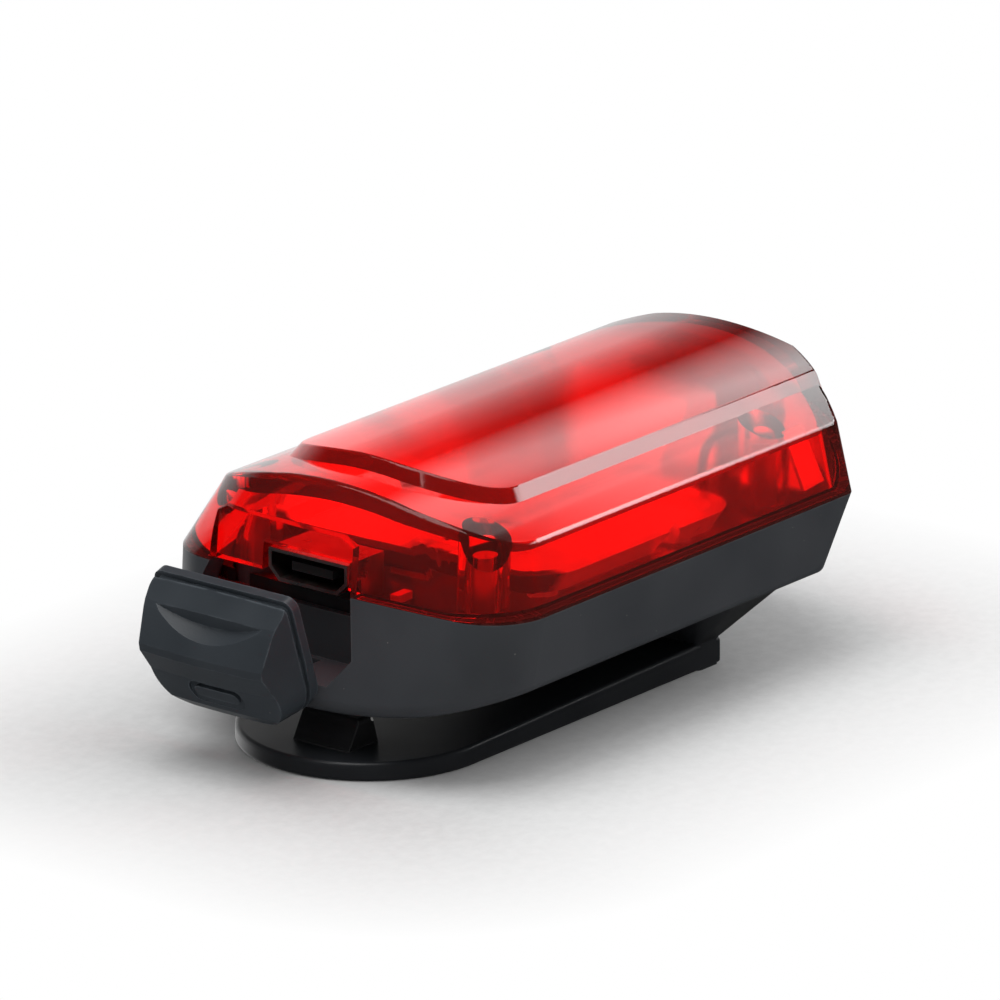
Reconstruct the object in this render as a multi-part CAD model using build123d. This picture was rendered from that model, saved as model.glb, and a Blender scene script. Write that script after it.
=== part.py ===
"""Small clip-on rear light for a bicycle.

X runs along the light. The charging end is at -X and the round switch end at +X.
Z is up, with the clear lens on top, and z = 0 is the flat underside of the clip,
on which the light lies. The charging cover is drawn open, as it hangs at rest.
"""
from build123d import *
from math import atan2, cos, degrees, pi, radians, sin, sqrt
import os

# Driving sizes of the light, in millimetres
body_width = 33.0
parting_height = 12.8
lens_height = 8.25
plateau_height = 1.02
underside_height = 4.5
front_reach = 19.87
front_face_radius = 150.0
rear_reach = 30.5
front_corner_share = 0.1485
rear_end_radius = 21.3
rear_corner_radius = 1.2
wall = 2.0
floor_wall = 1.5
cut_overrun = 2.0
seat_gap = 0.12
slip_gap = 0.05
loose_gap = 0.25

# How the lens walls lean in towards the top
lens_side_lean_share = 0.12576
lens_front_lean = 0.8
lens_rear_lean = 1.05
lens_rear_tightening = 0.2
lens_corner_gain_share = 0.0985
shoulder_crown_share = 0.9333
lens_ceiling_wall = 1.9
lens_edge_round = 0.5
plateau_edge_round = 0.3

# The raised plateau on the lens and its bevel
plateau_side_inset = 6.8
plateau_front_inset = 5.17
plateau_rear_inset = 2.7
plateau_rear_flattening = 1.4
plateau_corner_share = 0.68
plateau_crown_share = 0.7727
bevel_depth = 3.3
bevel_side_share = 0.8
bevel_front_share = 0.5
bevel_rear_share = 1.5

# How the housing tapers down to its crowned underside
housing_side_lean = 1.0
housing_front_lean = 3.3
housing_rear_lean = 4.85
housing_corner_gain = 2.7
housing_rear_tightening = 0.3
underside_crown_radius = 49.3
housing_edge_round = 0.8

# Seal in the rim of the housing
seal_inset = 0.55
seal_width = 0.8
seal_depth = 0.6

# Charging socket and its board
board_top = 11.25
board_thickness = 1.0
board_front_reach = 16.7
board_rear_inset = 6.1
board_side_inset = 2.7
board_corner_radius = 1.6
socket_side_inset = 13.7
socket_mouth_reach = 18.3
socket_lift = 0.8
socket_width = 7.5
socket_height = 2.5
socket_length = 5.0
socket_skin = 0.28
socket_corner = 0.95
socket_foot_length = 2.6
tongue_width = 3.9
tongue_thickness = 0.7
tongue_length = 4.2
contact_count = 5
contact_pitch = 0.65
contact_width = 0.36
contact_thickness = 0.08
contact_length = 3.2

# Recess for the charging cover in the lens and housing
cover_side_inset = 12.1
recess_half_width = 6.9
recess_top = 17.1
recess_top_corner = 1.2
recess_depth = 1.25
notch_half_width = 8.3
notch_wide_height = 8.6
notch_bottom_height = 6.5
notch_bottom_half_width = 6.6
pocket_back_reach = 17.3
pocket_wall = 1.2
mouth_side_gap = 0.35
mouth_top_gap = 0.3

# Charging cover, drawn closed along its flange and then swung open
hinge_reach = 19.05
hinge_height = 5.3
hinge_pin_radius = 0.45
eye_wall = 0.5
tether_width = 4.2
tether_thickness = 1.1
tether_side_gap = 0.35
cover_open_angle = 39.0
cover_closed_angle = 21.0
cover_width = 13.2
cover_top_reach = 18.53
cover_top_height = 16.39
cover_length = 10.5
cover_crown_radius = 90.0
cover_side_angle = 9.0
cover_top_round = 0.9
cover_foot_round = 3.4
flange_thickness = 0.75
flange_heel_drop = 8.7
flange_groove = 0.4
flange_groove_depth = 0.45
grip_radius = 14.2
grip_drop = 2.85
grip_wall_width = 0.45
grip_floor_thickness = 2.75
grip_step = 1.1
plug_width = 6.4
plug_height = 1.7
plug_length = 1.1
plug_drop = 3.2
mark_length = 5.2
mark_width = 2.0
mark_line = 0.5
mark_depth = 0.25
mark_drop = 7.7
mark_surface_thickness = 3.9

# Side profile of the cover's body: drop from its top edge, and height over the flange
cover_profile = [
    (0.15, 1.0),
    (1.35, 2.8),
    (1.75, 3.2),
    (3.9, 4.85),
    (4.5, 4.95),
    (6.6, 4.15),
    (9.2, 3.6),
    (10.1, 3.0),
    (10.5, 2.1),
    (10.45, 1.1),
    (8.6, 0.5),
]

# Screws that hold the lens down on the housing
screw_front_reach = 14.4
screw_rear_inset = 11.9
screw_side_inset = 5.9
screw_shank_radius = 0.8
screw_head_radius = 1.5
screw_head_height = 1.1
screw_length = 9.0
screw_slot_width = 0.4
screw_slot_depth = 0.45
boss_radius = 1.8
boss_ledge = 0.5

# Lamps and what surrounds them on the board
lamp_count = 5
lamp_row_margin = 3.5
lamp_gap = 1.45
lamp_width = 3.5
lamp_height = 0.8
lamp_frame = 0.35
lamp_dish_depth = 0.25
tray_front_setback = 1.9
tray_rear_gap = 0.7
tray_side_inset = 3.1
tray_floor_height = 12.15
tray_floor_thickness = 0.7
tray_rim_height = 1.7
tray_flare = 1.1
tray_foot_radius = 0.8
tray_foot_inset = 2.0
tray_corner_radius = 2.6
status_lamp_length = 1.6
status_lamp_width = 0.8
status_lamp_height = 0.6
status_lamp_reach = 14.6
status_lamp_side = 3.4

# Switch at the round end
switch_height_above_board = 4.25
switch_inset = 10.6
switch_depth = 3.4
switch_width = 6.2
switch_body_height = 6.4
switch_lift = 0.6
switch_skin = 0.3
carrier_length = 6.6
carrier_half_width = 5.0
carrier_top_height = 18.0
carrier_skin = 0.9
carrier_slope_length = 3.2
carrier_slope_height = 2.4
carrier_foot_height = 1.2
plunger_radius = 1.7
plunger_length = 3.0
plunger_stroke_room = 1.0
button_width = 10.0
button_height = 4.0
button_proud = 0.8
button_flange_rim = 0.7
button_flange_thickness = 0.9
button_travel = 0.5
button_wall_room = 0.35
button_edge_round = 0.35
nub_radius = 1.5

# Cell under the board and its leads
cell_front_gap = 1.7
cell_rear_gap = 1.5
cell_side_inset = 7.5
cell_thickness = 2.9
cell_edge_round = 1.2
tape_thickness = 0.2
tape_inset = 2.0
fold_length = 1.2
fold_height = 0.6
lead_radius = 0.4
lead_spread = 2.4
lead_first_share = 0.4
lead_bend_radius = 0.8
lead_pad_setback = 5.0
pad_length = 1.4
pad_width = 1.6
pad_thickness = 0.25

# Small parts soldered to the underside and top of the board
chip_length = 2.9
chip_width = 1.6
chip_height = 1.0
chip_leg_count = 3
chip_leg_width = 0.35
chip_leg_reach = 0.6
chip_leg_pitch = 0.95
chip_leg_thickness = 0.15
chip_setback = 1.6
chip_side_inset = 9.1
bead_length = 1.0
bead_width = 0.5
bead_height = 0.5
bead_count = 4
bead_pitch = 1.3
board_screw_inset = 4.4
board_screw_reach = 4.0
board_screw_head_radius = 1.1
board_screw_head_height = 0.6
board_screw_shank_radius = 0.55
board_screw_length = 3.2
post_radius = 1.4

# Spring clip under the housing
clip_side_inset = 6.5
clip_front_reach = 24.6
clip_tip_thickness = 1.4
clip_root_thickness = 2.1
clip_plate_rear = 14.9
clip_edge_round = 0.55
clip_rim_round = 0.35
clip_neck_front = 12.2
clip_neck_height = 2.4
clip_root_front = 8.4
clip_root_rear = 17.6
clip_root_inset = 1.5
clip_root_corner = 2.0
clip_pivot_height = 6.9
pad_front_reach = 21.6
pad_rear_reach = 18.2
pad_near_side = 3.7
pad_far_side = 1.6
pad_height = 2.3
pad_slope = 1.3
pad_round = 0.35


def crown_drop(radius, side):
    """How far a bowed face has fallen at a distance from its middle."""
    return radius - sqrt(radius ** 2 - side ** 2)


def plan_face(half_width, front_x, rear_x, end_radius, front_round, rear_round, height):
    """Plan outline: slightly bowed front, straight sides, one big arc round the rear end."""
    centre_x = rear_x - end_radius
    corner_x = centre_x + sqrt(end_radius ** 2 - half_width ** 2)
    side_x = front_x + crown_drop(front_face_radius, half_width)
    outline = [
        ThreePointArc((side_x, half_width), (front_x, 0), (side_x, -half_width)),
        Line((side_x, -half_width), (corner_x, -half_width)),
        ThreePointArc((corner_x, -half_width), (rear_x, 0), (corner_x, half_width)),
        Line((corner_x, half_width), (side_x, half_width)),
    ]
    face = make_face(outline)
    corners = face.vertices().sort_by(Axis.X)
    face = fillet(corners[:2], front_round)
    corners = face.vertices().filter_by_position(Axis.X, corner_x - rear_round / cut_overrun, rear_x)
    corners = [corner for corner in corners if abs(corner.X - corner_x) < slip_gap]
    face = fillet(corners, rear_round)
    return Pos(0, 0, height) * face


def crowned_block(radius, peak_height, far_height):
    """Everything between a barrel-shaped face over the light and a level far from it."""
    half = half_body + cut_overrun
    edge_height = peak_height - radius + sqrt(radius ** 2 - half ** 2)
    if far_height > peak_height:
        edge_height = peak_height + radius - sqrt(radius ** 2 - half ** 2)
    left, right = (-half, edge_height), (half, edge_height)
    face = make_face([
        ThreePointArc(left, (0, peak_height), right),
        Line(right, (half, far_height)),
        Line((half, far_height), (-half, far_height)),
        Line((-half, far_height), left),
    ])
    end = Plane(origin=(-body_width, 0, 0), x_dir=(0, 1, 0), z_dir=(1, 0, 0))
    return extrude(end * face, amount=2 * body_width + rear_reach)


def box_between(low, high):
    """Box from its lowest to its highest corner."""
    size = [b - a for a, b in zip(low, high)]
    middle = [(a + b) / 2 for a, b in zip(low, high)]
    return Pos(*middle) * Box(*size)


def rod_z(x, y, low, high, radius):
    """Upright cylinder."""
    return Pos(x, y, (low + high) / 2) * Cylinder(radius, high - low)


def rod_x(y, z, low, high, radius):
    """Cylinder along the light."""
    return Pos((low + high) / 2, y, z) * Rot(0, 90, 0) * Cylinder(radius, high - low)


half_body = body_width / 2
front_corner_radius = body_width * front_corner_share
lens_side_lean = body_width * lens_side_lean_share
lens_corner_gain = body_width * lens_corner_gain_share
shoulder_crown_radius = body_width * shoulder_crown_share
cover_offset = half_body - cover_side_inset
socket_offset = half_body - socket_side_inset
plateau_half_width = half_body - plateau_side_inset
plateau_corner_radius = plateau_half_width * plateau_corner_share
plateau_crown_radius = body_width * plateau_crown_share
switch_reach = rear_reach - switch_inset
carrier_front_reach = switch_reach - carrier_length
board_rear_reach = rear_reach - board_rear_inset
lead_pad_reach = board_rear_reach - lead_pad_setback
screw_rear_reach = rear_reach - screw_rear_inset
screw_spread = half_body - screw_side_inset
board_screw_spread = half_body - board_screw_inset
tray_front_reach = socket_mouth_reach - socket_length - tray_front_setback
tray_rear_reach = carrier_front_reach - tray_rear_gap
tray_half_width = half_body - tray_side_inset
lamp_row_front = lamp_row_margin - tray_front_reach
lamp_pitch = (tray_rear_reach - lamp_row_margin - lamp_row_front) / (lamp_count - 1)
lamp_length = lamp_pitch - lamp_gap
chip_reach = carrier_front_reach + chip_setback
chip_side = half_body - chip_side_inset
cell_front_reach = screw_front_reach - boss_radius - cell_front_gap
cell_rear_reach = screw_rear_reach - boss_radius - cell_rear_gap - fold_length
cell_half_width = half_body - cell_side_inset
clip_half_width = half_body - clip_side_inset
clip_root_half_width = half_body - clip_root_inset
lens_top = parting_height + lens_height
plateau_top = lens_top + plateau_height
board_bottom = board_top - board_thickness
socket_low = board_top + socket_lift
screw_places = [
    (-screw_front_reach, -screw_spread),
    (-screw_front_reach, screw_spread),
    (screw_rear_reach, -screw_spread),
    (screw_rear_reach, screw_spread),
]
board_screw_places = [(board_screw_reach, -board_screw_spread), (board_screw_reach, board_screw_spread)]


def lens_plan(inset, height):
    """Lens outline at a height, moved inwards by an inset."""
    share = (height - parting_height) / lens_height
    radius = rear_end_radius - lens_rear_tightening * share
    corner = front_corner_radius + lens_corner_gain * share
    return plan_face(
        half_body - lens_side_lean * share - inset,
        -front_reach + lens_front_lean * share + inset,
        rear_reach - lens_rear_lean * share - inset,
        radius - inset,
        corner - inset / 2,
        rear_corner_radius,
        height,
    )


def housing_plan(inset, height):
    """Housing outline at a height below the parting line, moved inwards."""
    share = (parting_height - height) / (parting_height - underside_height)
    radius = rear_end_radius - housing_rear_tightening * share
    corner = front_corner_radius + housing_corner_gain * share
    return plan_face(
        half_body - housing_side_lean * share - inset,
        -front_reach - housing_front_lean * share + inset,
        rear_reach - housing_rear_lean * share - inset,
        radius - inset,
        corner - inset / 2,
        rear_corner_radius,
        height,
    )


def housing_block():
    """Outer form of the housing, before it is hollowed."""
    low = underside_height - cut_overrun
    block = loft([housing_plan(0, low), housing_plan(0, parting_height)], ruled=True)
    block &= crowned_block(underside_crown_radius, underside_height, parting_height + cut_overrun)
    return block


def recess_prism(back_x):
    """Six-sided space of the charging cover, cut along the light."""
    points = [
        (recess_half_width - recess_top_corner, recess_top),
        (recess_half_width, recess_top - recess_top_corner / 2),
        (recess_half_width, parting_height),
        (notch_half_width, notch_wide_height),
        (notch_bottom_half_width, notch_bottom_height),
    ]
    right = [(cover_offset + y, z) for y, z in points]
    left = [(cover_offset - y, z) for y, z in reversed(points)]
    face = make_face(Polyline(*right, *left, close=True))
    start = Plane(origin=(back_x, 0, 0), x_dir=(0, 1, 0), z_dir=(1, 0, 0))
    return extrude(start * face, amount=-front_reach)


def tether_slot():
    """Slot through the lip of the housing in which the cover's strap swings."""
    half = tether_width / 2 + tether_side_gap
    eye = hinge_pin_radius + slip_gap + eye_wall + loose_gap
    return box_between(
        (-front_reach - front_reach, cover_offset - half, 0),
        (-hinge_reach + eye, cover_offset + half, notch_bottom_height + cut_overrun / 2),
    )


def make_housing():
    """Lower shell with bosses, cell space, cover pocket and hinge pin."""
    outer = housing_block()
    bottom_edges = outer.edges().filter_by(lambda edge: edge.center().Z < parting_height - wall)
    bottom_edges = [edge for edge in bottom_edges if edge.length > wall]
    outer = fillet(bottom_edges, housing_edge_round)
    inner = loft([
        housing_plan(wall, underside_height - cut_overrun),
        housing_plan(wall, parting_height + cut_overrun / 2),
    ], ruled=True)
    inner &= crowned_block(
        underside_crown_radius, underside_height + floor_wall, parting_height + cut_overrun * 2)
    shell = outer - inner
    pocket_low = (-2 * front_reach, cover_offset - notch_half_width - pocket_wall, 0)
    pocket_high = (
        -pocket_back_reach + pocket_wall,
        cover_offset + notch_half_width + pocket_wall,
        board_bottom,
    )
    shell += box_between(pocket_low, pocket_high) & outer
    for x, y in screw_places:
        shell += rod_z(x, y, 0, board_top + boss_ledge, boss_radius) & outer
    for x, y in board_screw_places:
        shell += rod_z(x, y, 0, board_bottom, post_radius) & outer
    shell -= recess_prism(-pocket_back_reach)
    mouth_half = socket_width / 2 + mouth_side_gap
    shell -= box_between(
        (-pocket_back_reach - cut_overrun, socket_offset - mouth_half, board_bottom),
        (-pocket_back_reach + wall, socket_offset + mouth_half, parting_height + cut_overrun),
    )
    shell -= tether_slot()
    reach = tether_width / 2 + tether_side_gap + slip_gap
    pin = Pos(-hinge_reach, cover_offset, hinge_height) * Rot(90, 0, 0) * Cylinder(hinge_pin_radius, 2 * reach)
    shell += pin
    for x, y in screw_places:
        shell -= rod_z(x, y, -cut_overrun, parting_height, screw_shank_radius + slip_gap * 2)
        seat = screw_seat_height(x, y)
        shell -= rod_z(x, y, -cut_overrun, seat, screw_head_radius + slip_gap * 3)
    for x, y in board_screw_places:
        depth = board_top - board_screw_length
        shell -= rod_z(x, y, depth, board_top, board_screw_shank_radius + slip_gap / 2)
    groove = seal_ring(slip_gap, parting_height - seal_depth, parting_height + cut_overrun)
    shell -= groove
    return shell


def underside_at(y):
    """Height of the crowned underside above the rest face."""
    return underside_height + underside_crown_radius - sqrt(underside_crown_radius ** 2 - y ** 2)


def screw_seat_height(x, y):
    """Where a lens screw's head bears, sunk into the underside."""
    return underside_at(abs(y) + screw_head_radius) + screw_head_height


def seal_ring(spread, low, high):
    """Seal that follows the parting line inside the rim and stops at the socket's pocket."""
    outer = extrude(housing_plan(seal_inset - spread, low), amount=high - low)
    inner = extrude(housing_plan(seal_inset + seal_width + spread, low), amount=high - low)
    side = recess_half_width + seal_inset - spread
    gap = box_between(
        (-front_reach - cut_overrun, cover_offset - side, low - cut_overrun),
        (-front_reach / 2, cover_offset + side, high + cut_overrun),
    )
    return outer - inner - gap


def make_lens_seal():
    """Silicone seal in the rim of the housing."""
    return seal_ring(0, parting_height - seal_depth, parting_height)


def plateau_plan(height):
    """Outline of the bevel round the plateau, at a height."""
    edge = plateau_top - crown_drop(plateau_crown_radius, plateau_half_width)
    drop = plateau_top - height
    return plan_face(
        plateau_half_width + (edge - height) * bevel_side_share,
        -front_reach + plateau_front_inset - drop * bevel_front_share,
        rear_reach - plateau_rear_inset + drop * bevel_rear_share,
        rear_end_radius + plateau_rear_flattening,
        plateau_corner_radius,
        rear_corner_radius,
        height,
    )


def lens_outer():
    """Outer form of the lens: shoulder, bevel and raised plateau."""
    sides = loft([lens_plan(0, parting_height), lens_plan(0, plateau_top + cut_overrun)], ruled=True)
    body = sides & crowned_block(shoulder_crown_radius, lens_top, 0)
    low = parting_height + lens_height / 3
    rim = [edge for edge in body.edges() if edge.bounding_box().min.Z > low]
    body = fillet(rim, lens_edge_round)
    plateau = loft([plateau_plan(plateau_top - bevel_depth), plateau_plan(plateau_top)], ruled=True)
    plateau &= crowned_block(plateau_crown_radius, plateau_top, 0)
    plateau &= sides
    plateau = fillet(plateau.faces().sort_by(Axis.Z)[-1].edges(), plateau_edge_round)
    return body + plateau


def make_lens():
    """Clear red lens with its screw bosses and the recess for the cover."""
    outer = lens_outer()
    inner = loft([
        lens_plan(wall, parting_height - cut_overrun / 2),
        lens_plan(wall, lens_top),
    ], ruled=True)
    inner &= crowned_block(shoulder_crown_radius, lens_top - lens_ceiling_wall, 0)
    lens = outer - inner
    for x, y in screw_places:
        boss = rod_z(x, y, board_top + boss_ledge, lens_top, boss_radius)
        lens += boss & crowned_block(shoulder_crown_radius, lens_top - lens_ceiling_wall / 2, 0)
    lens -= lens_front_recess()
    mouth_half = socket_width / 2 + mouth_side_gap
    socket_top = socket_low + socket_height
    lens -= box_between(
        (-front_reach - cut_overrun, socket_offset - mouth_half, parting_height - cut_overrun),
        (-socket_mouth_reach + wall, socket_offset + mouth_half, socket_top + mouth_top_gap),
    )
    for x, y in screw_places:
        tip = screw_seat_height(x, y) + screw_length + slip_gap
        lens -= rod_z(x, y, 0, tip, screw_shank_radius + slip_gap / 2)
    lens -= button_prism(slip_gap * 2, 0, rear_reach + cut_overrun)
    return lens


def lens_front_recess():
    """Shallow space in the lens front in which the cover's flange lies."""
    prism = recess_prism(-front_reach / 2)
    angle = degrees(atan2(lens_front_lean, lens_height))
    floor = Pos(-front_reach + recess_depth, 0, parting_height) * Rot(0, angle, 0)
    slab = floor * box_between((-front_reach, -half_body, -recess_top), (0, half_body, recess_top))
    return prism & slab


def cover_frame():
    """Plane of the closed cover: X down the flange, Y across, Z outwards."""
    lean = radians(cover_closed_angle)
    down = (-sin(lean), 0, -cos(lean))
    outward = (-cos(lean), 0, sin(lean))
    origin = (-cover_top_reach, cover_offset, cover_top_height)
    return Plane(origin=origin, x_dir=down, z_dir=outward)


def swing_open(shape):
    """Turn a closed cover piece about the hinge pin to where it hangs at rest."""
    to_pin = Pos(-hinge_reach, 0, hinge_height)
    return to_pin * Rot(0, -cover_open_angle, 0) * to_pin.inverse() * shape


def cover_outline(foot_drop):
    """Outline of the cover seen square to its flange."""
    half = cover_width / 2
    face = make_face(Polyline((0, -half), (foot_drop, -half), (foot_drop, half), (0, half), close=True))
    face = fillet([corner for corner in face.vertices() if corner.X < foot_drop / 2], cover_top_round)
    foot = [corner for corner in face.vertices() if corner.X > foot_drop - slip_gap]
    return fillet(foot, cover_foot_round)


def grip_cone(radius, floor, height):
    """Cutter of one finger grip: a cone whose lower arc crosses the cover."""
    wide = radius + grip_wall_width * height / grip_step
    start = Pos(grip_drop - grip_radius, 0, floor + height / 2)
    return start * Cone(bottom_radius=radius, top_radius=wide, height=height)


def make_cover_body():
    """Cover in its own plane: crowned body, flange, grips, mark and plug."""
    side = Plane(origin=(0, 0, 0), x_dir=(1, 0, 0), z_dir=(0, -1, 0))
    base = [(cover_profile[-1][0], -flange_thickness), (cover_profile[0][0], -flange_thickness)]
    profile = side * make_face(Polyline(*cover_profile, *base, close=True))
    axis = Axis((0, 0, -cover_crown_radius), (1, 0, 0))
    swing = degrees(atan2(cover_width, cover_crown_radius))
    body = revolve(profile, axis, swing).rotate(axis, -swing / 2)
    prism = extrude(cover_outline(cover_length), amount=2 * grip_drop, taper=cover_side_angle)
    body &= prism
    rim = Pos(0, 0, flange_thickness) * (
        Box(4 * cover_length, 2 * cover_width, flange_groove, align=(Align.CENTER, Align.CENTER, Align.MIN))
        - extrude(offset(cover_outline(cover_length), -flange_groove_depth), amount=flange_groove)
    )
    body -= rim
    body -= grip_cone(grip_radius - grip_wall_width, grip_floor_thickness, 2 * grip_step)
    mark_face = SlotOverall(mark_length, mark_width) - SlotOverall(
        mark_length - 2 * mark_line, mark_width - 2 * mark_line)
    mark = extrude(Rot(0, 0, 90) * mark_face, amount=mark_width)
    body -= Pos(mark_drop, 0, mark_surface_thickness - mark_depth) * mark
    flange = extrude(cover_outline(flange_heel_drop), amount=flange_thickness)
    plug_side = cover_offset - socket_offset
    plug = Pos(plug_drop, plug_side, -plug_length / 2) * Box(plug_height, plug_width, plug_length)
    plug = fillet(plug.edges().group_by(Axis.Z)[0], flange_groove)
    return flange + body + plug


def make_cover():
    """Rubber charging cover with its strap and the eye that turns on the pin."""
    frame = cover_frame()
    cover = frame * make_cover_body()
    eye = hinge_pin_radius + slip_gap + eye_wall
    local = frame.to_local_coords(Vector(-hinge_reach, cover_offset, hinge_height))
    end_x = flange_heel_drop - tether_thickness
    end_z = flange_thickness / 2
    angle = atan2(end_z - local.Z, end_x - local.X)
    length = sqrt((end_x - local.X) ** 2 + (end_z - local.Z) ** 2)
    strap = Pos(length / 2, 0, 0) * Box(length, tether_width, tether_thickness)
    strap = frame * Pos(local.X, 0, local.Z) * Rot(0, -degrees(angle), 0) * strap
    at_pin = Pos(-hinge_reach, cover_offset, hinge_height) * Rot(90, 0, 0)
    ring = at_pin * Cylinder(eye, tether_width)
    bore = at_pin * Cylinder(hinge_pin_radius + slip_gap, tether_width + cut_overrun)
    return swing_open(cover + strap + ring - bore)


def button_prism(gap, low, high):
    """Long round-ended bar along the light, for the button and its hole."""
    height = board_top + switch_height_above_board
    start = Plane(origin=(low, 0, height), x_dir=(0, 1, 0), z_dir=(1, 0, 0))
    face = SlotOverall(button_width + 2 * gap, button_height + 2 * gap)
    return extrude(start * face, amount=high - low)


def make_button():
    """Rubber power button with its retaining flange behind the rear wall."""
    height = board_top + switch_height_above_board
    share = (height - parting_height) / lens_height
    wall_x = rear_reach - lens_rear_lean * share - wall
    flange_half = button_width / 2 + button_flange_rim
    inner_radius = rear_end_radius - wall
    drop = inner_radius - sqrt(inner_radius ** 2 - flange_half ** 2)
    lean = lens_rear_lean * (button_height / 2 + button_flange_rim) / lens_height
    flange_x = wall_x - drop - lean - button_wall_room
    cap = button_prism(0, flange_x - slip_gap, rear_reach + cut_overrun)
    past = plateau_top + cut_overrun
    low = parting_height - cut_overrun
    cap &= loft([lens_plan(-button_proud, low), lens_plan(-button_proud, past)], ruled=True)
    cap = fillet(cap.faces().sort_by(Axis.X)[-1].edges(), button_edge_round)
    start = Plane(
        origin=(flange_x - button_flange_thickness, 0, height), x_dir=(0, 1, 0), z_dir=(1, 0, 0))
    rim = SlotOverall(button_width + 2 * button_flange_rim, button_height + 2 * button_flange_rim)
    flange = extrude(start * rim, amount=button_flange_thickness)
    nub = rod_x(0, height, plunger_tip() + slip_gap, flange_x, nub_radius)
    return cap + flange + nub


def plunger_tip():
    """How far the switch plunger stands towards the round end."""
    return switch_reach + switch_depth + plunger_stroke_room


def make_plunger():
    """Plunger of the switch, which moves with the button."""
    height = board_top + switch_height_above_board
    tip = plunger_tip()
    return rod_x(0, height, tip - plunger_length, tip, plunger_radius)


def make_switch_body():
    """Black body of the switch, standing on edge on the board."""
    height = board_top + switch_height_above_board
    low = board_top + switch_lift
    body = box_between(
        (switch_reach, -switch_width / 2, low),
        (switch_reach + switch_depth, switch_width / 2, low + switch_body_height),
    )
    body = fillet(body.edges().filter_by(Axis.X), switch_skin)
    tip = plunger_tip()
    room = tip - plunger_length - button_travel - slip_gap
    return body - rod_x(0, height, room, tip, plunger_radius + slip_gap)


def make_switch_carrier():
    """Black bracket that stands on the board and backs the switch."""
    rear = switch_reach - slip_gap
    half = carrier_half_width
    outline = [
        (carrier_front_reach, board_top),
        (rear, board_top),
        (rear, carrier_top_height),
        (carrier_front_reach + carrier_slope_length, carrier_top_height),
        (carrier_front_reach, carrier_top_height - carrier_slope_height),
    ]
    side = Plane(origin=(0, half, 0), x_dir=(1, 0, 0), z_dir=(0, -1, 0))
    block = extrude(side * make_face(Polyline(*outline, close=True)), amount=2 * half)
    room = box_between(
        (carrier_front_reach + carrier_skin, carrier_skin - half, board_top - cut_overrun),
        (rear - carrier_skin, half - carrier_skin, carrier_top_height - carrier_slope_height),
    )
    arch = box_between(
        (carrier_front_reach - cut_overrun, carrier_skin - half, board_top - cut_overrun),
        (rear - carrier_skin, half - carrier_skin, board_top + carrier_foot_height),
    )
    return block - room - arch


def make_board():
    """Circuit board, notched round the lens bosses."""
    inset = board_side_inset
    face = plan_face(
        half_body - inset,
        -board_front_reach,
        board_rear_reach,
        rear_end_radius - inset,
        board_corner_radius,
        rear_corner_radius,
        board_bottom,
    )
    board = extrude(face, amount=board_thickness)
    for x, y in screw_places:
        board -= rod_z(x, y, 0, parting_height, boss_radius + loose_gap)
    for x, y in board_screw_places:
        board -= rod_z(x, y, 0, parting_height, board_screw_shank_radius + slip_gap)
    return board


def make_board_screws():
    """Two small screws that hold the board on its posts."""
    screws = []
    for x, y in board_screw_places:
        low = board_top + board_screw_head_height - board_screw_length
        screw = rod_z(x, y, low, board_top, board_screw_shank_radius)
        screw += rod_z(x, y, board_top, board_top + board_screw_head_height, board_screw_head_radius)
        slot_high = board_top + board_screw_head_height
        screw -= box_between(
            (x - board_screw_head_radius, y - screw_slot_width / 2, slot_high - screw_slot_depth / 2),
            (x + board_screw_head_radius, y + screw_slot_width / 2, slot_high + cut_overrun),
        )
        screws.append(screw)
    return Compound(screws)


def make_lens_screws():
    """Four self-tapping screws, driven from the underside into the lens bosses."""
    screws = []
    for x, y in screw_places:
        seat = screw_seat_height(x, y)
        screw = rod_z(x, y, seat, seat + screw_length, screw_shank_radius)
        head_low = seat - screw_head_height
        screw += rod_z(x, y, head_low, seat, screw_head_radius)
        for turn in (0, 90):
            blade = Box(2 * screw_head_radius - 2 * screw_slot_width, screw_slot_width, screw_slot_depth)
            screw -= Pos(x, y, head_low + screw_slot_depth / 2 - slip_gap / 2) * Rot(0, 0, turn) * blade
        screws.append(screw)
    return Compound(screws)


def make_socket_shell():
    """Folded steel shell of the charging socket."""
    low = socket_low
    high = socket_low + socket_height

    def section(skin):
        half = socket_width / 2 - skin
        bottom, top = low + skin, high - skin
        corner = socket_corner - skin / 2
        return make_face(Polyline(
            (half, top), (half, bottom + corner), (half - corner, bottom),
            (corner - half, bottom), (-half, bottom + corner), (-half, top), close=True))

    mouth = Plane(origin=(-socket_mouth_reach, socket_offset, 0), x_dir=(0, 1, 0), z_dir=(1, 0, 0))
    shell = extrude(mouth * section(0), amount=socket_length)
    front = Plane(
        origin=(-socket_mouth_reach - cut_overrun, socket_offset, 0), x_dir=(0, 1, 0), z_dir=(1, 0, 0))
    shell -= extrude(front * section(socket_skin), amount=cut_overrun + socket_length - socket_skin)
    back = -socket_mouth_reach + socket_length
    for side in (-1, 1):
        y = socket_offset + side * (socket_width - socket_skin) / 2
        shell += box_between(
            (back - socket_foot_length, y - socket_skin / 2, board_top),
            (back, y + socket_skin / 2, low + 2 * socket_corner),
        )
    return shell


def tongue_box():
    """Corners of the plastic tongue inside the socket."""
    middle = socket_low + socket_height / 2
    back = -socket_mouth_reach + socket_length - socket_skin
    return (
        (back - tongue_length, socket_offset - tongue_width / 2, middle - tongue_thickness / 2),
        (back, socket_offset + tongue_width / 2, middle + tongue_thickness / 2),
    )


def make_tongue():
    """Plastic tongue that carries the contacts."""
    low, high = tongue_box()
    return box_between(low, high)


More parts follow.
